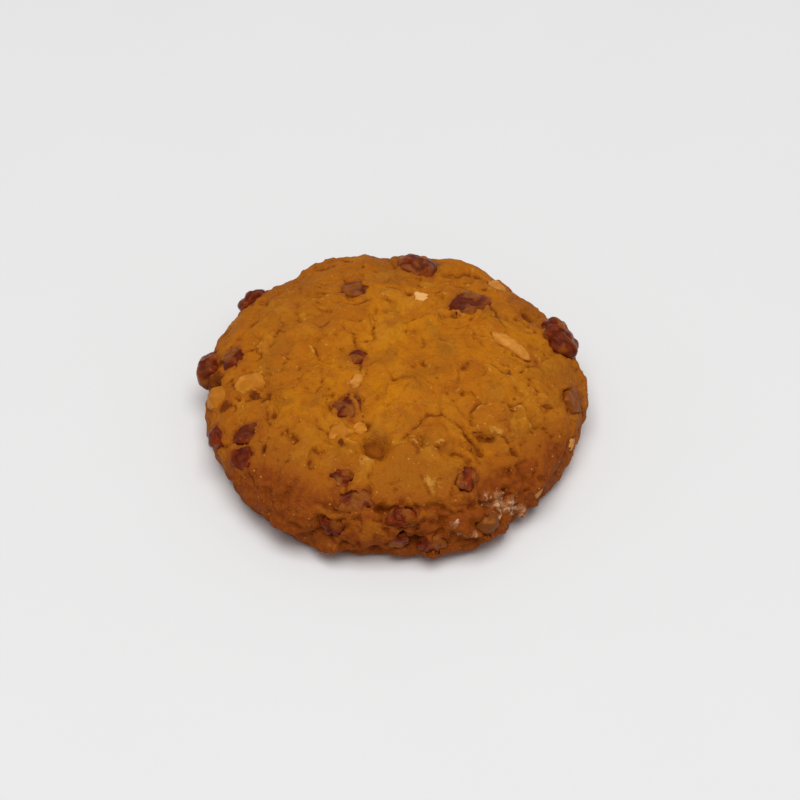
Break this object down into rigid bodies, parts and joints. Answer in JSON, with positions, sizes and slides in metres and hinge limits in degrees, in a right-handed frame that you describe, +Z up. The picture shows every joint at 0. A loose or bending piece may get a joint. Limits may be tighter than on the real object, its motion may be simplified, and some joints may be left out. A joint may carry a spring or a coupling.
{
  "type": "lemon cookie",
  "caption": "Thick round bakery cookie of golden lemon dough with a cracked, craggy crust and raisins and chopped nut pieces baked into its top and side.",
  "frame": {"origin": "on the flat base, below the middle of the cookie", "axes": "+Z up through the crown, -Y towards the broken front edge, +X to the cookie's right"},
  "size_m": [0.0808, 0.0818, 0.0186],
  "materials": {
    "dough": "baked, dry and matt",
    "raisin": "wrinkled, half glossy",
    "nut": "toasted, satin"
  },
  "bodies": {
    "root": {"dough": "dough", "raisin_01": "raisin", "raisin_02": "raisin", "raisin_03": "raisin", "raisin_04": "raisin", "raisin_05": "raisin", "raisin_06": "raisin", "raisin_07": "raisin", "raisin_08": "raisin", "raisin_09": "raisin", "raisin_10": "raisin", "raisin_11": "raisin", "raisin_12": "raisin", "raisin_13": "raisin", "raisin_14": "raisin", "raisin_15": "raisin", "raisin_16": "raisin", "raisin_17": "raisin", "raisin_18": "raisin", "raisin_19": "raisin", "nut_01": "nut", "nut_02": "nut", "nut_03": "nut", "nut_04": "nut", "nut_05": "nut", "nut_06": "nut", "nut_07": "nut", "nut_08": "nut", "nut_09": "nut"}
  },
  "joints": []
}
